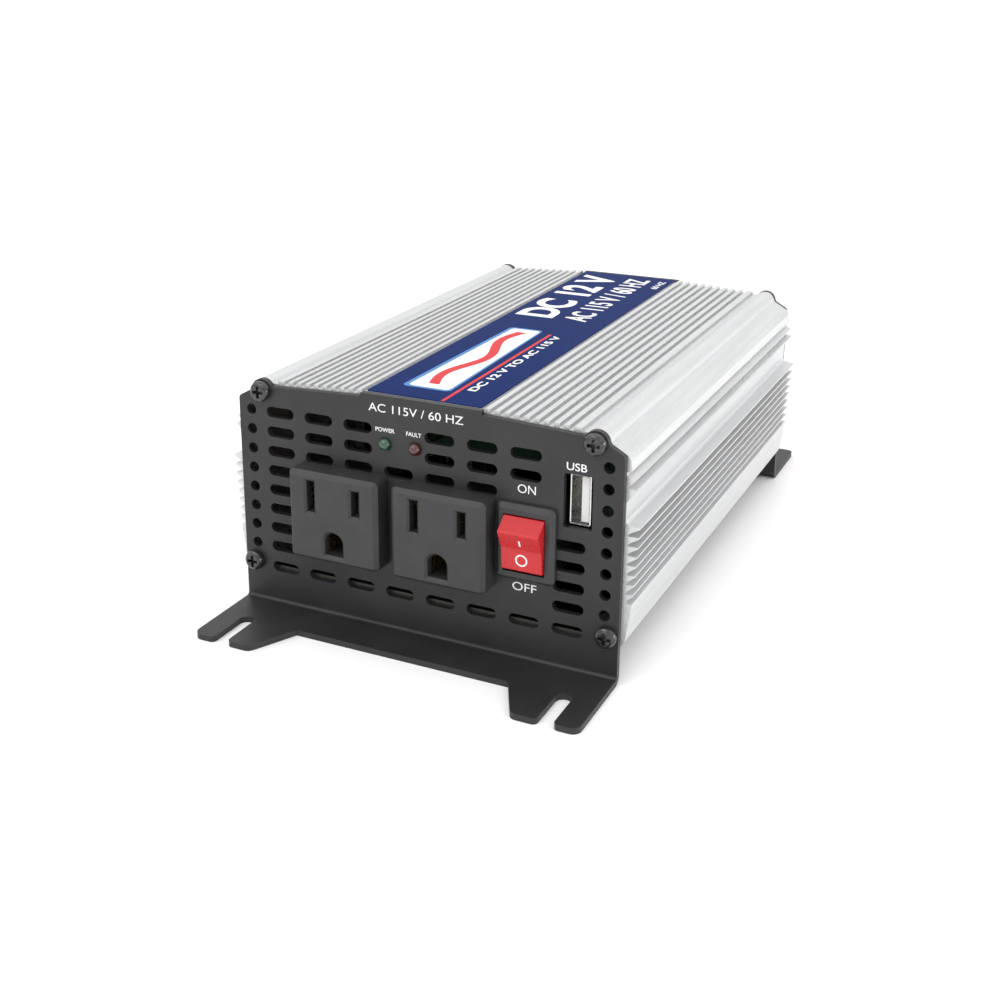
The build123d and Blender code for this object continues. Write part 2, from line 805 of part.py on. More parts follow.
def transformer_core():
    """Two E halves back to back, seen as one outline with two windows."""
    bottom = board_top + 3.0
    x_low, x_high = transformer_x - transformer_width / 2, transformer_x + transformer_width / 2
    y_low, y_high = transformer_y - transformer_depth / 2, transformer_y + transformer_depth / 2
    core = block(x_low, x_high, y_low, y_high, bottom, bottom + transformer_height)
    for side in (-1, 1):
        window_x = transformer_x + side * transformer_width * 0.225
        low, high = bottom + 6.0, bottom + transformer_height - 6.0
        core -= block(window_x - 4.6, window_x + 4.6, y_low - 1, y_high + 1, low, high)
    return core


def transformer_bobbin():
    bottom = board_top + 3.0 + 6.0
    top = board_top + 3.0 + transformer_height - 6.0
    core_half = transformer_width * 0.225 - 4.6
    inner = Pos(transformer_x, transformer_y) * Rectangle(core_half * 2 + 0.2, transformer_depth + 0.2)
    tube = Pos(transformer_x, transformer_y) * Rectangle(core_half * 2 + 2.2, transformer_depth + 2.2) - inner
    flange = RectangleRounded(core_half * 2 + bobbin_flange, transformer_depth + bobbin_flange, 3.0)
    flange = Pos(transformer_x, transformer_y) * flange
    bobbin = along_z(tube, bottom + 0.1, top - 0.1)
    bobbin += along_z(flange - inner, bottom + 0.1, bottom + 1.1)
    bobbin += along_z(flange - inner, top - 1.1, top - 0.1)
    foot_y = (transformer_depth + 17.0) / 2 - 2.0
    for side in (-1, 1):
        y = transformer_y + side * foot_y
        bobbin += block(transformer_x - 8, transformer_x + 8, y - 1.5, y + 1.5, board_top, bottom + 0.5)
    return bobbin


def transformer_winding():
    bottom = board_top + 3.0 + 6.0 + 1.1
    top = board_top + 3.0 + transformer_height - 6.0 - 1.1
    core_half = transformer_width * 0.225 - 4.6
    place = Pos(transformer_x, transformer_y)
    inner = place * Rectangle(core_half * 2 + 2.2, transformer_depth + 2.2)
    outer = place * RectangleRounded(core_half * 2 + 15.0, transformer_depth + 15.0, 4.0)
    return along_z(outer - inner, bottom, top)


def choke_core():
    ring = Pos(choke_x, choke_y) * (Circle(choke_outer) - Circle(choke_inner))
    core = along_z(ring, board_top + 1.6, board_top + 1.6 + choke_height)
    return core


def choke_winding():
    """Copper turns wound round the ring, each a closed rectangular hoop that clears its core."""
    turns = 14
    gap = 0.1
    wire = 1.3
    low, high = board_top + 1.6 - gap, board_top + 1.6 + choke_height + gap
    near, far = choke_inner - gap, choke_outer + gap
    hoops = []
    for index in range(turns):
        outer = block(near - wire, far + wire, -wire / 2, wire / 2, low - wire, high + wire)
        inner = block(near, far, -wire, wire, low, high)
        hoops.append(Pos(choke_x, choke_y, 0) * Rot(0, 0, 360 / turns * index) * (outer - inner))
    return Compound(children=hoops)


def capacitor(y, radius, height):
    can = Pos(capacitor_x, y, board_top + height / 2) * Cylinder(radius, height)
    can = fillet(can.edges().group_by(Axis.Z)[-1], 0.8)
    groove = Pos(capacitor_x, y, board_top + 3.0) * Torus(radius + 0.2, 0.7)
    can -= groove
    top = board_top + height
    for angle in (0, 90):
        can -= Pos(capacitor_x, y, top) * Rot(0, 0, angle) * Box(radius * 1.4, 0.5, 0.6)
    return can


def transistor_places():
    start = -transistor_pitch * (transistor_count - 1) / 2
    return [8.0 + start + transistor_pitch * index for index in range(transistor_count)]


def clamp_screw_places():
    ys = transistor_places()
    return [(ys[0] + ys[1]) / 2, (ys[-1] + ys[-2]) / 2]


def transistor_lead_places(side):
    x = side * (wall_x - pad_thickness - transistor_thickness / 2)
    x = min(x, board_width / 2 - 1.0) if side > 0 else max(x, -board_width / 2 + 1.0)
    return [(x, y + lead) for y in transistor_places() for lead in (-2.54, 0, 2.54)]


def transistors(side):
    group = []
    inner = wall_x - pad_thickness - transistor_thickness
    outer = wall_x - pad_thickness
    low = transistor_z - transistor_height / 2
    high = transistor_z + transistor_height / 2
    lead_x = transistor_lead_places(1)[0][0]
    for y in transistor_places():
        package = block(inner, outer, y - transistor_width / 2, y + transistor_width / 2, low, high)
        for lead in (-2.54, 0, 2.54):
            leg_y = y + lead
            leg = block(lead_x - 0.3, lead_x + 0.3, leg_y - 0.4, leg_y + 0.4, board_bottom - 1.0, low + 0.5)
            package += leg
        group.append(package if side > 0 else mirror(package, about=Plane.YZ))
    return Compound(children=group)


def pad_and_bar_span():
    ys = transistor_places()
    margin = transistor_width / 2 + 2.0
    return ys[0] - margin, ys[-1] + margin


def side_screw_holes(radius):
    holes = []
    for side in (-1, 1):
        for y in clamp_screw_places():
            holes.append(Pos(side * wall_x, y, transistor_z) * Rot(0, 90, 0) * Cylinder(radius, 30))
    return holes


def insulating_pad(side):
    y_low, y_high = pad_and_bar_span()
    low, high = transistor_z - transistor_height / 2 - 1, transistor_z + transistor_height / 2 + 1
    pad = block(wall_x - pad_thickness, wall_x, y_low, y_high, low, high)
    pad = pad if side > 0 else mirror(pad, about=Plane.YZ)
    for hole in side_screw_holes(clamp_screw_radius + hole_clearance):
        pad -= hole
    return pad


def clamp_bar(side):
    y_low, y_high = pad_and_bar_span()
    outer = wall_x - pad_thickness - transistor_thickness
    low, high = transistor_z - clamp_height / 2, transistor_z + clamp_height / 2
    bar = block(outer - clamp_thickness, outer, y_low, y_high, low, high)
    bar = bar if side > 0 else mirror(bar, about=Plane.YZ)
    for hole in side_screw_holes(clamp_screw_radius + hole_clearance):
        bar -= hole
    return bar


def clamp_screws():
    reach = clamp_thickness + transistor_thickness + pad_thickness
    screw = pan_screw(2.8, 1.8, clamp_screw_radius, reach + 1.6)
    group = []
    for side in (-1, 1):
        for y in clamp_screw_places():
            x = side * (wall_x - reach)
            group.append(Pos(x, y, transistor_z) * Rot(0, -90 * side, 0) * screw)
    return Compound(children=group)


# ---- Fan -----------------------------------------------------------------------------------------
def fan_screw_places():
    half = fan_screw_spacing / 2
    return [(fan_x + sx * half, fan_z + sz * half) for sx in (-1, 1) for sz in (-1, 1)]


def fan_frame():
    back, front = half_length, half_length - fan_depth
    place = Pos(fan_x, fan_z)
    square = place * RectangleRounded(fan_size, fan_size, 3.0)
    square -= place * Circle(fan_bore / 2)
    for x, z in fan_screw_places():
        square -= Pos(x, z) * Circle(fan_screw_radius + thread_clearance)
    frame = along_y(square, front, back)
    for index in range(3):
        strut = Rot(0, 0, 30 + 120 * index) * Pos(fan_bore / 4 + 0.5, 0) * Rectangle(fan_bore / 2 - 1, 2.4)
        frame += along_y(place * strut, front, front + 1.6)
    frame += rod_y(fan_hub_radius - 1.0, front, front + 1.6, fan_x, fan_z)
    frame += rod_y(3.2, front + 1.6, front + 4.5, fan_x, fan_z)
    frame -= rod_y(fan_shaft_radius + fan_shaft_clearance, front + 0.6, front + 5, fan_x, fan_z)
    return frame


def fan_rotor():
    front = half_length - fan_depth
    low, high = front + 2.0, half_length - 0.6
    place = Pos(fan_x, fan_z)
    rotor = along_y(place * Circle(fan_hub_radius), low, high)
    rotor = fillet(rotor.faces().sort_by(Axis.Y)[-1].edges(), 0.8)
    rotor -= along_y(place * Circle(fan_hub_radius - 1.2), low - 1, high - 1.4)
    rotor += rod_y(fan_shaft_radius, front + 1.0, high - 1.0, fan_x, fan_z)
    tip_radius = fan_bore / 2 - 0.8
    blade_length = tip_radius - fan_hub_radius + 0.6
    blade_middle = (tip_radius + fan_hub_radius - 0.6) / 2
    for index in range(fan_blades):
        blade = Pos(blade_middle, 0, 0) * Rot(38, 0, 0) * Box(blade_length, 1.0, 7.2)
        blade = Pos(fan_x, (low + high) / 2, fan_z) * Rot(0, 360 / fan_blades * index, 0) * blade
        rotor += blade
    return rotor


def fan_guard():
    """Wire rings on a crossed pair of bars that end in eyes under the fan screws."""
    wire = guard_wire / 2
    y = plate_face + wire
    corner = fan_screw_spacing / 2 * 2 ** 0.5
    guard = None
    for angle in (45, 135):
        bar = Pos(fan_x, y, fan_z) * Rot(0, angle, 0) * Box(2 * corner - 4.4, guard_wire, guard_wire)
        guard = bar if guard is None else guard + bar
    for radius in guard_rings:
        ring = Circle(radius + wire) - Circle(radius - wire)
        near = plate_face + guard_wire * 0.4
        guard += along_y(Pos(fan_x, fan_z) * ring, near, near + guard_wire)
    eye = Circle(3.2) - Circle(fan_screw_radius + hole_clearance)
    for x, z in fan_screw_places():
        guard += along_y(Pos(x, z) * eye, plate_face, plate_face + guard_wire)
    return guard


def fan_screws():
    screw = pan_screw(2.8, 1.9, fan_screw_radius, plate_thickness + guard_wire + fan_depth - 1.0)
    screws = [facing_back(screw, x, plate_face + guard_wire, z) for x, z in fan_screw_places()]
    return Compound(children=screws)


# ---- Battery terminals ---------------------------------------------------------------------------
def post_base(x):
    base = rod_y(post_base_radius, plate_face, plate_face + post_base_proud, x, post_z)
    base = fillet(base.faces().sort_by(Axis.Y)[-1].edges(), 0.8)
    base += rod_y(post_sleeve_radius, half_length - 1.6, plate_face, x, post_z)
    bore_end = plate_face + post_base_proud + 1
    return base - rod_y(stud_radius + stud_clearance, half_length - 3, bore_end, x, post_z)


def post_stud(x):
    """Threaded stud, drawn plain, with its inner end past the nut."""
    stud = rod_y(stud_radius, half_length - 12.0, stud_tip(), x, post_z)
    return chamfer(stud.edges().group_by(Axis.Y)[0] + stud.edges().group_by(Axis.Y)[-1], 0.5)


def washer_face():
    return plate_face + post_base_proud


def knob_face():
    return washer_face() + post_washer_thickness


def stud_tip():
    return knob_face() + knob_length - 2.4


def post_washer(x):
    ring = Circle(post_washer_radius) - Circle(stud_radius + stud_clearance)
    return along_y(Pos(x, post_z) * ring, washer_face(), knob_face())


def post_knob(x):
    """Fluted plastic knob with a closed outer end."""
    low, high = knob_face(), knob_face() + knob_length
    body = rod_y(knob_radius, low, high, x, post_z)
    body = fillet(body.faces().sort_by(Axis.Y)[-1].edges(), 1.2)
    flutes = 12
    for index in range(flutes):
        angle = 2 * pi / flutes * index
        fx, fz = x + (knob_radius + 0.5) * cos(angle), post_z + (knob_radius + 0.5) * sin(angle)
        body -= rod_y(1.2, low + 2.0, high + 1, fx, fz)
    return body - rod_y(stud_radius + stud_clearance, low - 1, stud_tip() + 1.0, x, post_z)


def post_nuts():
    nut = hex_nut(nut_across_flats, nut_height, stud_radius + stud_clearance)
    seat = half_length - 1.6 - strap_thickness
    return Compound(children=[facing_front(nut, x, seat, post_z) for x in post_x.values()])


def post_strap(x):
    """Copper strap from the stud down to the back edge of the main board."""
    seat = half_length - 1.6
    upright = Pos(x, 0) * outline([
        (-strap_width / 2, board_top),
        (strap_width / 2, board_top),
        (strap_width / 2, post_z),
        (-strap_width / 2, post_z),
    ])
    upright += Pos(x, post_z) * Circle(strap_width / 2)
    upright -= Pos(x, post_z) * Circle(stud_radius + hole_clearance)
    strap = along_y(upright, seat - strap_thickness, seat)
    strap += block(x - strap_width / 2, x + strap_width / 2, board_back - strap_seat_length, seat,
                   board_top, board_top + strap_thickness)
    return strap


def ground_screw():
    screw = pan_screw(3.8, 2.6, ground_screw_radius, 7.0)
    return facing_back(screw, ground_x, plate_face, ground_z)


# ---- Build ---------------------------------------------------------------------------------------
parts["housing_extrusion"] = housing()
parts["bottom_plate"] = bottom_plate()
parts["top_label"] = top_label()
parts["front_plate"] = front_plate()
parts["rear_plate"] = rear_plate()
parts["front_plate_screws"] = plate_screws(facing_front, -plate_face)
parts["rear_plate_screws"] = plate_screws(facing_back, plate_face)
for side_name, centre_x in zip(("left", "right"), outlet_x):
    parts[side_name + "_receptacle"] = outlet_body(centre_x)
    for kind, dx, dz, width, height in outlet_contact_rows:
        contact = outlet_contact(centre_x, kind, dx, dz, width, height)
        parts[side_name + "_" + kind + "_contact"] = contact
parts["switch_body"] = switch_body()
parts["switch_rocker"] = switch_rocker()
for terminal_name, sign in (("line", 1), ("load", -1)):
    x_low, x_high, y_low, y_high, z_low, z_high = switch_terminal_slot(sign)
    parts["switch_" + terminal_name + "_terminal"] = block(x_low, x_high, y_low, y_high, z_low, z_high)
parts["usb_shell"] = usb_shell()
parts["usb_tongue"] = usb_tongue()
parts["usb_contacts"] = usb_contact_group()
parts["indicator_board"] = indicator_board()
parts["power_lamp"] = lamp(lamp_x[0])
parts["fault_lamp"] = lamp(lamp_x[1])
parts["main_board"] = main_board()
parts["board_standoffs"] = board_standoffs()
parts["board_screws"] = board_screws()
parts["transformer_core"] = transformer_core()
parts["transformer_bobbin"] = transformer_bobbin()
parts["transformer_winding"] = transformer_winding()
parts["choke_core"] = choke_core()
parts["choke_winding"] = choke_winding()
parts["input_capacitor_outer"] = capacitor(44.0, input_capacitor_radius, input_capacitor_height)
parts["input_capacitor_inner"] = capacitor(26.0, input_capacitor_radius, input_capacitor_height)
parts["bus_capacitor_inner"] = capacitor(4.0, bus_capacitor_radius, bus_capacitor_height)
parts["bus_capacitor_outer"] = capacitor(-18.0, bus_capacitor_radius, bus_capacitor_height)
for side_name, side in (("left", -1), ("right", 1)):
    parts[side_name + "_transistors"] = transistors(side)
    parts[side_name + "_insulating_pad"] = insulating_pad(side)
    parts[side_name + "_clamp_bar"] = clamp_bar(side)
parts["clamp_screws"] = clamp_screws()
parts["fan_frame"] = fan_frame()
parts["fan_rotor"] = fan_rotor()
parts["fan_guard"] = fan_guard()
parts["fan_screws"] = fan_screws()
for colour, x in post_x.items():
    parts[colour + "_post_base"] = post_base(x)
    parts[colour + "_post_stud"] = post_stud(x)
    parts[colour + "_post_washer"] = post_washer(x)
    parts[colour + "_post_knob"] = post_knob(x)
    parts[colour + "_post_strap"] = post_strap(x)
parts["post_nuts"] = post_nuts()
parts["ground_screw"] = ground_screw()

os.makedirs("parts", exist_ok=True)
for name, shape in parts.items():
    shape.label = name
    export_step(shape, "parts/" + name + ".step")
print(len(parts), "nodes")
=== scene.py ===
import json
import math

import bmesh
import bpy
from mathutils import Matrix, Vector


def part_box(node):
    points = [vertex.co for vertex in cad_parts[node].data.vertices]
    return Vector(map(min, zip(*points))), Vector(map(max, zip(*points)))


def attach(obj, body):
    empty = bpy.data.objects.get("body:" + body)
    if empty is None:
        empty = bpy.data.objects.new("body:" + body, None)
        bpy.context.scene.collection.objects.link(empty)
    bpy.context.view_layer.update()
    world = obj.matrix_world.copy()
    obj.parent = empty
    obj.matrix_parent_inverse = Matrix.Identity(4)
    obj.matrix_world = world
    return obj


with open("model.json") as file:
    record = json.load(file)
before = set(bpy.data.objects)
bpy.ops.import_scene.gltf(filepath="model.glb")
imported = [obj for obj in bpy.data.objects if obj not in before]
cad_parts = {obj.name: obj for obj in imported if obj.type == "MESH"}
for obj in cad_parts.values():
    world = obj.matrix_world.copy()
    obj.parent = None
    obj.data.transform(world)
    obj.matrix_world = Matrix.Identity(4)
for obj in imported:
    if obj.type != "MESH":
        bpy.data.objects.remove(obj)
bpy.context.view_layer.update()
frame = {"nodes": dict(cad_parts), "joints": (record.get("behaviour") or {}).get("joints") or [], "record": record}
nodes = frame["nodes"]

MM = 0.001
PLATE_THICKNESS = 1.6 * MM
PRINT = 0.00004             # thickness of a printed mark; marks on the label are half as thick
CAP_HEIGHT = 0.72           # of the font's size
ROCKER_TILT = math.radians(15.0)


# ---- Node helpers --------------------------------------------------------------------------------
class Graph:
    """A material's node tree, with short calls for the nodes that the materials share."""

    def __init__(self, name):
        self.material = bpy.data.materials.new(name)
        self.material.use_nodes = True
        self.tree = self.material.node_tree
        self.tree.nodes.clear()
        self.shader = self.node("ShaderNodeBsdfPrincipled")
        output = self.node("ShaderNodeOutputMaterial")
        self.tree.links.new(self.shader.outputs["BSDF"], output.inputs["Surface"])
        self.coordinates = self.node("ShaderNodeTexCoord").outputs["Object"]

    def node(self, kind, **settings):
        made = self.tree.nodes.new(kind)
        for key, value in settings.items():
            setattr(made, key, value)
        return made

    def link(self, source, target):
        self.tree.links.new(source, target)

    def set(self, **values):
        """Constants on the shader's own sockets."""
        for key, value in values.items():
            self.shader.inputs[key.replace("_", " ")].default_value = value

    def stretched(self, scale):
        mapping = self.node("ShaderNodeMapping")
        mapping.inputs["Scale"].default_value = scale
        self.link(self.coordinates, mapping.inputs["Vector"])
        return mapping.outputs["Vector"]

    def noise(self, size, detail=3.0, roughness=0.55, stretch=None):
        """Noise whose features are about size metres across."""
        made = self.node("ShaderNodeTexNoise")
        made.inputs["Scale"].default_value = 1.0 / size
        made.inputs["Detail"].default_value = detail
        made.inputs["Roughness"].default_value = roughness
        vector = self.stretched(stretch) if stretch else self.coordinates
        self.link(vector, made.inputs["Vector"])
        return made.outputs["Fac"]

    def ramp(self, factor, stops):
        """stops: (place, value or colour) pairs."""
        made = self.node("ShaderNodeValToRGB")
        elements = made.color_ramp.elements
        while len(elements) < len(stops):
            elements.new(0.5)
        for element, (place, colour) in zip(elements, stops):
            element.position = place
            if not isinstance(colour, (tuple, list)):
                colour = (colour, colour, colour)
            element.color = (*colour[:3], 1.0)
        self.link(factor, made.inputs["Fac"])
        return made.outputs["Color"]

    def mix(self, factor, first, second, blend="MIX"):
        made = self.node("ShaderNodeMix", data_type="RGBA", blend_type=blend)
        for value, socket in ((factor, made.inputs[0]), (first, made.inputs[6]), (second, made.inputs[7])):
            if isinstance(value, bpy.types.NodeSocket):
                self.link(value, socket)
            elif isinstance(value, (tuple, list)):
                socket.default_value = (*value[:3], 1.0)
            else:
                socket.default_value = value
        return made.outputs[2]

    def colour(self, socket):
        self.link(socket, self.shader.inputs["Base Color"])

    def roughness(self, factor, low, high):
        made = self.node("ShaderNodeMapRange")
        made.inputs["To Min"].default_value = low
        made.inputs["To Max"].default_value = high
        made.inputs["From Min"].default_value = 0.3
        made.inputs["From Max"].default_value = 0.7
        self.link(factor, made.inputs["Value"])
        self.link(made.outputs["Result"], self.shader.inputs["Roughness"])

    def bump(self, height, strength, depth):
        made = self.node("ShaderNodeBump")
        made.inputs["Strength"].default_value = strength
        made.inputs["Distance"].default_value = depth
        self.link(height, made.inputs["Height"])
        self.link(made.outputs["Normal"], self.shader.inputs["Normal"])


def tinted(graph, colour, spread, size):
    """Base colour that drifts a little across the surface."""
    drift = graph.noise(size, 2.0)
    dark = tuple(max(c * (1 - spread), 0.0) for c in colour)
    light = tuple(min(c * (1 + spread), 1.0) for c in colour)
    graph.colour(graph.ramp(drift, ((0.3, dark), (0.7, light))))


# ---- Materials -----------------------------------------------------------------------------------
def anodised_aluminium():
    g = Graph("anodised_aluminium")
    g.set(Metallic=0.88)
    streak = g.noise(0.0016, 3.0, 0.6, (1.0, 0.03, 1.0))
    grain = g.noise(0.00035, 2.0, 0.7)
    base = g.ramp(streak, ((0.25, (0.63, 0.635, 0.64)), (0.75, (0.71, 0.715, 0.72))))
    speckle = g.ramp(grain, ((0.32, 0.74), (0.68, 1.0)))
    g.colour(g.mix(0.6, base, speckle, "MULTIPLY"))
    g.roughness(grain, 0.38, 0.54)
    g.bump(grain, 0.30, 0.00007)
    return g.material


def mill_aluminium():
    g = Graph("mill_aluminium")
    g.set(Metallic=0.95)
    streak = g.noise(0.0008, 3.0, 0.6, (1.0, 0.02, 1.0))
    # Painted shade: the base colour, 0.075 to 0.11, is far darker than bare aluminium. It stands in for the shade
    # inside the housing seen through the vents; the streaks are the metal's own grain.
    g.colour(g.ramp(streak, ((0.3, (0.075, 0.076, 0.068)), (0.7, (0.11, 0.111, 0.10)))))
    g.roughness(streak, 0.38, 0.52)
    g.bump(streak, 0.15, 0.00003)
    return g.material


def powder_coat():
    g = Graph("black_powder_coat")
    g.set(Specular_IOR_Level=0.42)
    orange_peel = g.noise(0.0007, 2.0, 0.5)
    fine = g.noise(0.00022, 2.0, 0.6)
    tinted(g, (0.020, 0.0195, 0.0205), 0.18, 0.012)
    g.roughness(fine, 0.38, 0.54)
    g.bump(g.mix(0.5, orange_peel, fine), 0.30, 0.00005)
    return g.material


def black_moulding():
    g = Graph("black_moulding")
    g.set(Specular_IOR_Level=0.45)
    fine = g.noise(0.00025, 2.0, 0.6)
    tinted(g, (0.031, 0.031, 0.033), 0.12, 0.008)
    g.roughness(fine, 0.42, 0.58)
    g.bump(fine, 0.25, 0.00004)
    return g.material


def black_oxide():
    g = Graph("black_oxide_steel")
    g.set(Metallic=0.6, Coat_Weight=0.5, Coat_Roughness=0.08)
    wear = g.noise(0.0009, 3.0)
    g.colour(g.ramp(wear, ((0.35, (0.022, 0.022, 0.024)), (0.75, (0.075, 0.075, 0.077)))))
    g.roughness(wear, 0.12, 0.24)
    g.bump(g.noise(0.0003), 0.12, 0.00003)
    return g.material


def bright_steel():
    g = Graph("bright_steel")
    g.set(Metallic=1.0)
    wear = g.noise(0.0007, 3.0)
    g.colour(g.ramp(wear, ((0.3, (0.58, 0.58, 0.59)), (0.7, (0.74, 0.74, 0.75)))))
    g.roughness(wear, 0.18, 0.34)
    g.bump(g.noise(0.00025), 0.08, 0.00002)
    return g.material


def brass():
    g = Graph("contact_brass")
    g.set(Metallic=1.0)
    tarnish = g.noise(0.0012, 3.0)
    g.colour(g.ramp(tarnish, ((0.3, (0.60, 0.44, 0.18)), (0.7, (0.80, 0.63, 0.30)))))
    g.roughness(tarnish, 0.20, 0.38)
    g.bump(g.noise(0.0003), 0.08, 0.00002)
    return g.material


def copper():
    g = Graph("enamelled_copper")
    g.set(Metallic=0.95, Coat_Weight=0.4, Coat_Roughness=0.2)
    tone = g.noise(0.0015, 3.0)
    g.colour(g.ramp(tone, ((0.3, (0.62, 0.26, 0.11)), (0.7, (0.80, 0.40, 0.20)))))
    g.roughness(tone, 0.24, 0.38)
    g.bump(g.noise(0.0004), 0.08, 0.00003)
    return g.material


def printed_film():
    g = Graph("printed_label_film")
    g.set(Specular_IOR_Level=0.02)
    tinted(g, (0.004, 0.018, 0.105), 0.06, 0.01)
    fine = g.noise(0.0004, 2.0)
    g.roughness(fine, 0.40, 0.52)
    g.bump(fine, 0.10, 0.00002)
    return g.material


def ink(name, colour, rough=0.42):
    g = Graph(name)
    g.set(Specular_IOR_Level=0.15)
    tinted(g, colour, 0.04, 0.002)
    fine = g.noise(0.0003, 2.0)
    g.roughness(fine, rough - 0.05, rough + 0.07)
    g.bump(fine, 0.06, 0.00001)
    return g.material


def gloss_moulding(name, colour, low, high, grain=0.0006):
    g = Graph(name)
    g.set(Specular_IOR_Level=0.5)
    tinted(g, colour, 0.05, 0.004)
    fine = g.noise(grain, 2.0)
    g.roughness(fine, low, high)
    g.bump(fine, 0.10, 0.00003)
    return g.material


def lens(name, colour):
    g = Graph(name)
    g.set(Coat_Weight=0.8, Coat_Roughness=0.06, Subsurface_Weight=0.1)
    g.shader.inputs["Subsurface Radius"].default_value = (0.0008, 0.0008, 0.0008)
    tinted(g, colour, 0.25, 0.0012)
    haze = g.noise(0.0005, 2.0)
    g.roughness(haze, 0.12, 0.22)
    g.bump(haze, 0.05, 0.00002)
    return g.material


def circuit_board():
    g = Graph("solder_masked_board")
    g.set(Specular_IOR_Level=0.2)
    tracks = g.node("ShaderNodeTexBrick", offset=0.5)
    tracks.inputs["Scale"].default_value = 90.0
    tracks.inputs["Mortar Size"].default_value = 0.03
    tracks.inputs["Color1"].default_value = (0.004, 0.026, 0.012, 1)
    tracks.inputs["Color2"].default_value = (0.004, 0.022, 0.010, 1)
    tracks.inputs["Mortar"].default_value = (0.010, 0.048, 0.022, 1)
    g.link(g.coordinates, tracks.inputs["Vector"])
    g.colour(tracks.outputs["Color"])
    fine = g.noise(0.0006, 2.0)
    g.roughness(fine, 0.25, 0.38)
    g.bump(tracks.outputs["Fac"], 0.15, 0.00003)
    return g.material


def ferrite():
    g = Graph("sintered_ferrite")
    grain = g.noise(0.0004, 4.0, 0.7)
    g.colour(g.ramp(grain, ((0.3, (0.030, 0.030, 0.032)), (0.7, (0.07, 0.07, 0.073)))))
    g.roughness(grain, 0.50, 0.70)
    g.bump(grain, 0.35, 0.00006)
    return g.material


def winding_tape():
    g = Graph("winding_tape")
    g.set(Specular_IOR_Level=0.5)
    layers = g.noise(0.002, 2.0, 0.5, (0.1, 0.1, 6.0))
    g.colour(g.ramp(layers, ((0.35, (0.62, 0.44, 0.05)), (0.65, (0.80, 0.60, 0.10)))))
    g.roughness(layers, 0.22, 0.36)
    g.bump(layers, 0.30, 0.00008)
    return g.material


def silicone_pad():
    g = Graph("silicone_pad")
    grain = g.noise(0.0005, 2.0)
    g.colour(g.ramp(grain, ((0.3, (0.42, 0.44, 0.46)), (0.7, (0.52, 0.54, 0.56)))))
    g.roughness(grain, 0.55, 0.75)
    g.bump(grain, 0.2, 0.00004)
    return g.material


def coat_nodes():
    """Give every CAD node its material by the record's material slot."""
    made = {
        "anodised_aluminium": anodised_aluminium(),
        # This material's dark colour is painted shade for the housing's inside.
        "mill_aluminium": mill_aluminium(),
        "black_painted_steel": powder_coat(),
        "black_steel_screw": black_oxide(),
        "printed_label": printed_film(),
        "black_plastic": black_moulding(),
        "contact_brass": brass(),
        "red_rocker_plastic": gloss_moulding("red_rocker_moulding", (0.52, 0.014, 0.018), 0.24, 0.36),
        "steel_bright": bright_steel(),
        "white_plastic": gloss_moulding("white_moulding", (0.70, 0.70, 0.68), 0.38, 0.5),
        "green_circuit_board": circuit_board(),
        "green_lamp": lens("green_lens", (0.010, 0.055, 0.024)),
        "red_lamp": lens("red_lens", (0.055, 0.006, 0.006)),
        "dark_ferrite": ferrite(),
        "winding_copper": copper(),
        "yellow_tape": winding_tape(),
        "capacitor_sleeve": gloss_moulding("capacitor_sleeve", (0.012, 0.014, 0.05), 0.22, 0.34),
        "transistor_epoxy": gloss_moulding("transistor_epoxy", (0.02, 0.02, 0.02), 0.45, 0.6, 0.0003),
        "grey_silicone": silicone_pad(),
        "red_plastic": gloss_moulding("red_terminal_moulding", (0.46, 0.012, 0.012), 0.34, 0.46),
        "terminal_black_plastic": gloss_moulding("black_terminal_moulding", (0.02, 0.02, 0.021), 0.34, 0.46),
    }
    made["standoff_brass"] = made["contact_brass"]
    for part in frame["record"]["subparts"]:
        node = nodes[part["node"]]
        node.data.materials.clear()
        node.data.materials.append(made[part["material_slot"]])


# ---- Pieces that the frame doesn't have ----------------------------------------------------------
def lettering(name, text, height, place, rotation, material, body, weight=0.0, width=None):
    """Flat printed text, centred on its place, stretched to width if one is given."""
    curve = bpy.data.curves.new(name, "FONT")
    curve.body = text
    curve.size = height / CAP_HEIGHT
    curve.align_x = "CENTER"
    curve.align_y = "CENTER"
    curve.offset = weight
    curve.extrude = 0.00001
    made = bpy.data.objects.new(name, curve)
    bpy.context.scene.collection.objects.link(made)
    made.rotation_euler = rotation
    bpy.context.view_layer.update()
    if width:
        made.scale.x = width / max(made.dimensions.x, 1e-6)
    made.location = place
    made.data.materials.append(material)
    return finish_piece(as_mesh(made), body)


def as_mesh(piece):
    """Turn a text or curve object into a mesh that sits at the origin."""
    bpy.context.view_layer.update()
    depsgraph = bpy.context.evaluated_depsgraph_get()
    mesh = bpy.data.meshes.new_from_object(piece.evaluated_get(depsgraph))
    mesh.transform(piece.matrix_world)
    made = bpy.data.objects.new(piece.name + "_print", mesh)
    bpy.context.scene.collection.objects.link(made)
    bpy.data.objects.remove(piece)
    return made


def finish_piece(piece, body):
    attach(piece, body)
    return piece


def place_sheet(bm, name, to_world, material, body):
    """Turn a closed bmesh into a piece at its place."""
    bmesh.ops.recalc_face_normals(bm, faces=bm.faces)
    mesh = bpy.data.meshes.new(name)
    bm.to_mesh(mesh)
    bm.free()
    mesh.transform(to_world)
    mesh.materials.append(material)
    piece = bpy.data.objects.new(name, mesh)
    bpy.context.scene.collection.objects.link(piece)
    return finish_piece(piece, body)


def sheet_from_outline(name, points, thickness, to_world, material, body, slot):
    """A thin closed plate from a flat outline (x, y in metres), placed by a matrix."""
    bm = bmesh.new()
    face = bm.faces.new([bm.verts.new((x, y, 0.0)) for x, y in points])
    grown = bmesh.ops.extrude_face_region(bm, geom=[face])
    raised = [v for v in grown["geom"] if isinstance(v, bmesh.types.BMVert)]
    bmesh.ops.translate(bm, verts=raised, vec=(0, 0, thickness))
    return place_sheet(bm, name, to_world, material, body)


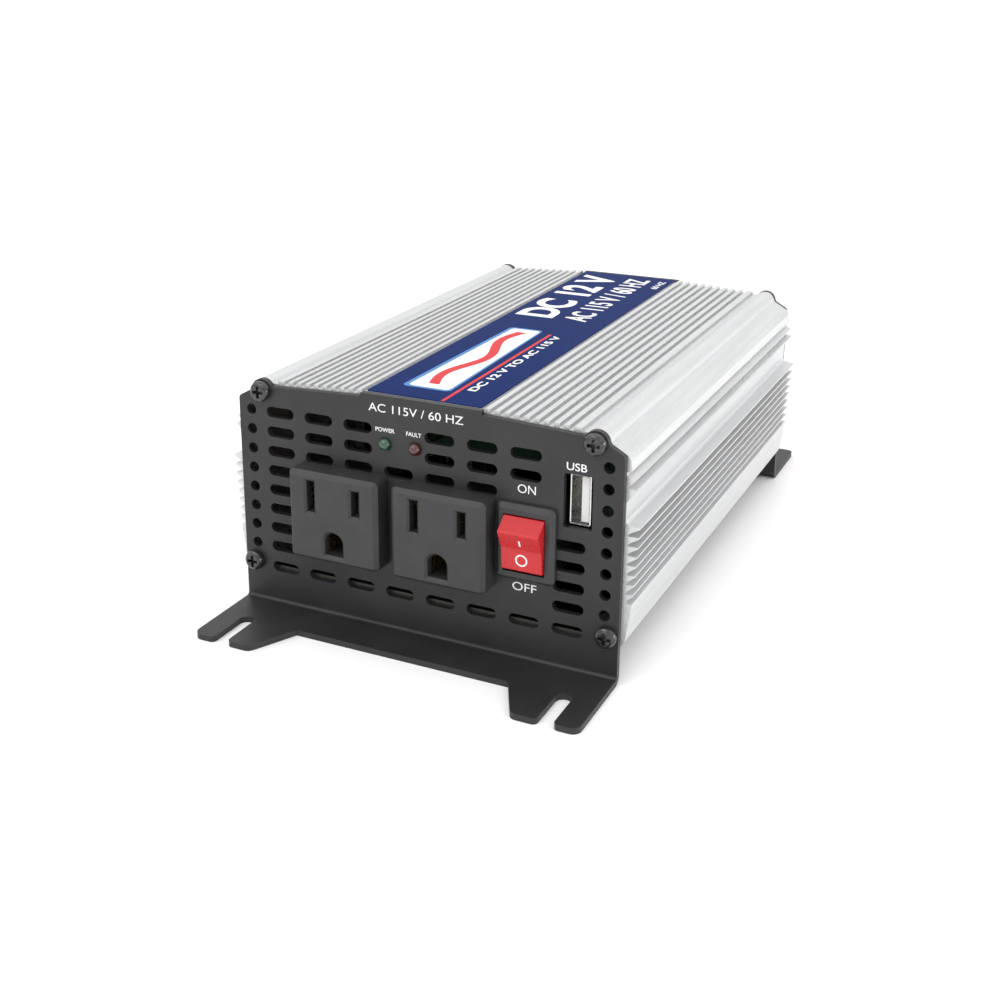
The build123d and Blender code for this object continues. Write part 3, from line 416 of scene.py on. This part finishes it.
def ring_sheet(name, inner, outer, thickness, to_world, material, body, slot, steps=48):
    """A thin flat ring, placed by a matrix."""
    bm = bmesh.new()
    loops = []
    for radius, height in ((inner, 0), (outer, 0), (outer, thickness), (inner, thickness)):
        loop = []
        for i in range(steps):
            a = 2 * math.pi * i / steps
            loop.append(bm.verts.new((radius * math.cos(a), radius * math.sin(a), height)))
        loops.append(loop)
    for k in range(4):
        near, far = loops[k], loops[(k + 1) % 4]
        for i in range(steps):
            j = (i + 1) % steps
            bm.faces.new((near[i], near[j], far[j], far[i]))
    return place_sheet(bm, name, to_world, material, body)


def rounded_rectangle(width, height, radius, steps=8):
    points = []
    corners = ((1, 1, 0), (-1, 1, 90), (-1, -1, 180), (1, -1, 270))
    for sx, sy, start in corners:
        cx, cy = sx * (width / 2 - radius), sy * (height / 2 - radius)
        for i in range(steps + 1):
            a = math.radians(start + 90 * i / steps)
            points.append((cx + radius * math.cos(a), cy + radius * math.sin(a)))
    return points


coat_nodes()
white_ink = ink("white_legend_ink", (0.78, 0.78, 0.77))
white_film = ink("white_label_print", (0.82, 0.82, 0.82))
red_film = ink("red_label_print", (0.58, 0.015, 0.02))
sky_film = ink("light_blue_label_print", (0.05, 0.20, 0.48))


def front_legends():
    """Plain legends printed on the outlet plate."""
    plate_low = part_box("front_plate")[0]
    housing_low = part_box("housing_extrusion")[0]
    face_y = housing_low.y - PLATE_THICKNESS - PRINT * 0.5
    upright = (math.pi / 2, 0, 0)
    legends = (
        ("legend_supply", "AC 115V / 60 HZ", 2.15, (-1.1, 59.75), 25.6, 0.0),
        ("legend_power", "POWER", 1.05, (-9.5, 54.35), 5.3, 0.00002),
        ("legend_fault", "FAULT", 1.05, (-1.6, 54.35), 4.1, 0.00002),
        ("legend_usb", "USB", 1.9, (40.4, 53.0), 5.0, 0.00002),
        ("legend_on", "ON", 2.2, (28.2, 45.4), 4.6, 0.0),
        ("legend_off", "OFF", 2.2, (27.9, 20.3), 6.2, 0.0),
    )
    for name, text, height, (x, z), width, weight in legends:
        place = (x * MM, face_y, z * MM + plate_low.z)
        lettering(name, text, height * MM, place, upright, white_ink, "inverter",
                  weight, width * MM)


def rocker_marks():
    """The bar and ring moulded in white on the rocker's two faces."""
    joint = next(j for j in frame["joints"] if j["child"] == "switch_rocker")
    pivot = Vector(joint["pos_m"])
    valley, apex_out, apex_up = 3.5 * MM, 4.55 * MM, 5.4 * MM
    lean = math.atan2(apex_out - valley, apex_up)
    rides = ("switch_rocker", "red_rocker_plastic")
    for name, side in (("rocker_mark_on", 1), ("rocker_mark_off", -1)):
        along = 0.46 * math.hypot(apex_up, apex_out - valley)
        out = valley + along * math.sin(lean)
        up = side * along * math.cos(lean)
        local = Matrix.Translation((0, -out, up)) @ Matrix.Rotation(side * lean, 4, "X")
        local = local @ Matrix.Rotation(math.pi / 2, 4, "X")
        world = Matrix.Translation(pivot) @ Matrix.Rotation(ROCKER_TILT, 4, "X") @ local
        if side > 0:
            bar = rounded_rectangle(0.42 * MM, 1.9 * MM, 0.15 * MM, 4)
            sheet_from_outline(name, bar, PRINT, world, white_ink, *rides)
        else:
            ring_sheet(name, 1.15 * MM, 1.55 * MM, PRINT, world, white_ink, *rides)


def label_graphics():
    """A generic print for the label: a badge with a sine wave, a red rule, and plain supply ratings."""
    low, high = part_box("top_label")
    top = high.z
    turned = Matrix.Rotation(math.pi / 2, 4, "Z")

    def at(along, across, lift=0.0):
        """Along the label from its outlet end, across it to the right, both in millimetres."""
        return Matrix.Translation((across * MM, low.y + along * MM, top + lift)) @ turned

    def plate(name, along, across, size, radius, material, lift=0.0, taper=0.0):
        """A printed rounded rectangle, narrower towards the far end by the taper."""
        length, width = size
        outline = [(x, y * (1 - taper * x / (length * MM)))
                   for x, y in rounded_rectangle(length * MM, width * MM, radius * MM)]
        sheet_from_outline(name, outline, PRINT * 0.5, at(along, across, lift), material,
                           "inverter", "printed_label")

    plate("badge_edge", 38.6, -3.3, (62.5, 11.6), 1.6, sky_film, taper=0.28)
    plate("badge_ground", 38.6, -3.0, (60.4, 9.8), 1.2, white_film, PRINT * 0.3, 0.28)
    wave_badge(at(38.6, -3.0, PRINT * 0.6), 54.0 * MM, 6.4 * MM)
    plate("label_rule", 33.6, 5.0, (66.8, 0.9), 0.2, red_film)
    rotation = (0, 0, math.pi / 2)
    rows = (
        ("label_rating_supply", "DC 12 V", 11.2, 112.5, -7.0, 58.0, 0.00055),
        ("label_rating_output", "AC 115 V / 60 HZ", 7.2, 113.5, 5.4, 58.5, 0.00022),
        ("label_small_row", "DC 12 V TO AC 115 V", 2.2, 38.0, 7.8, 55.5, 0.0001),
        ("label_tiny_row", "60 HZ", 2.1, 137.5, 12.9, 10.5, 0.00006),
    )
    for name, text, height, along, across, width, weight in rows:
        place = (across * MM, low.y + along * MM, top + PRINT * 0.25)
        lettering(name, text, height * MM, place, rotation, white_film, "inverter",
                  weight, width * MM)


def wave_badge(to_world, length, height):
    """A red band that follows one and a half turns of a sine wave."""
    steps, half_band = 96, 1.25 * MM
    upper, lower = [], []
    for i in range(steps + 1):
        t = i / steps
        x = (t - 0.5) * length
        phase = 3 * math.pi * t
        slope = 0.5 * height * 3 * math.pi / length * math.cos(phase)
        across = half_band * math.hypot(1.0, slope)
        y = 0.5 * (height - 2 * half_band) * math.sin(phase)
        upper.append((x, y + across))
        lower.append((x, y - across))
    points = lower + upper[::-1]
    sheet_from_outline("badge_wave", points, PRINT * 0.5, to_world, red_film, "inverter", "printed_label")


# ---- Stage ---------------------------------------------------------------------------------------
def pale_floor():
    g = Graph("pale_floor")
    g.set(Specular_IOR_Level=0.1)
    tinted(g, (0.96, 0.96, 0.96), 0.01, 0.3)
    g.roughness(g.noise(0.05), 0.75, 0.9)
    mesh = bpy.data.meshes.new("floor")
    reach = 40.0
    corners = [(-reach, -reach, 0), (reach, -reach, 0), (reach, reach, 0), (-reach, reach, 0)]
    mesh.from_pydata(corners, [], [(0, 1, 2, 3)])
    mesh.materials.append(g.material)
    floor = bpy.data.objects.new("floor", mesh)
    bpy.context.scene.collection.objects.link(floor)


def soft_light(name, place, aim, size, power):
    data = bpy.data.lights.new(name, "AREA")
    data.shape = "RECTANGLE"
    data.size, data.size_y = size
    data.energy = power
    light = bpy.data.objects.new(name, data)
    bpy.context.scene.collection.objects.link(light)
    light.location = place
    light.rotation_euler = (Vector(aim) - Vector(place)).to_track_quat("-Z", "Y").to_euler()
    light.visible_camera = False


def studio():
    """A white surround, dimmer at the horizon than overhead, and three soft panels."""
    world = bpy.data.worlds.new("studio")
    bpy.context.scene.world = world
    world.use_nodes = True
    tree = world.node_tree
    background = tree.nodes["Background"]
    background.inputs["Strength"].default_value = 1.0
    split = tree.nodes.new("ShaderNodeSeparateXYZ")
    tree.links.new(tree.nodes.new("ShaderNodeTexCoord").outputs["Generated"], split.inputs["Vector"])
    height = tree.nodes.new("ShaderNodeMapRange")
    height.inputs["From Min"].default_value = 0.05
    height.inputs["From Max"].default_value = 0.65
    height.inputs["To Min"].default_value = 1.0
    height.inputs["To Max"].default_value = 1.3
    tree.links.new(split.outputs["Z"], height.inputs["Value"])
    tree.links.new(height.outputs["Result"], background.inputs["Color"])
    middle = (0.0, 0.0, 0.03)
    soft_light("key", (-0.35, -0.75, 0.95), middle, (0.9, 0.7), 3.0)
    soft_light("side", (1.2, 0.10, 0.16), middle, (1.6, 0.3), 6.0)
    soft_light("top", (0.0, 0.35, 1.2), middle, (1.0, 1.0), 1.0)


def camera():
    data = bpy.data.cameras.new("camera")
    data.sensor_width = 36.0
    data.lens = 49.64
    data.shift_x = 0.05
    data.shift_y = -0.10
    data.clip_start = 0.01
    view = bpy.data.objects.new("camera", data)
    bpy.context.scene.collection.objects.link(view)
    view.location = (0.14611, -0.35089, 0.16410)
    view.rotation_euler = tuple(math.radians(a) for a in (72.087, 0.104, 26.576))
    bpy.context.scene.camera = view


front_legends()
rocker_marks()
label_graphics()
pale_floor()
studio()
camera()
bpy.context.scene.view_settings.view_transform = "Standard"
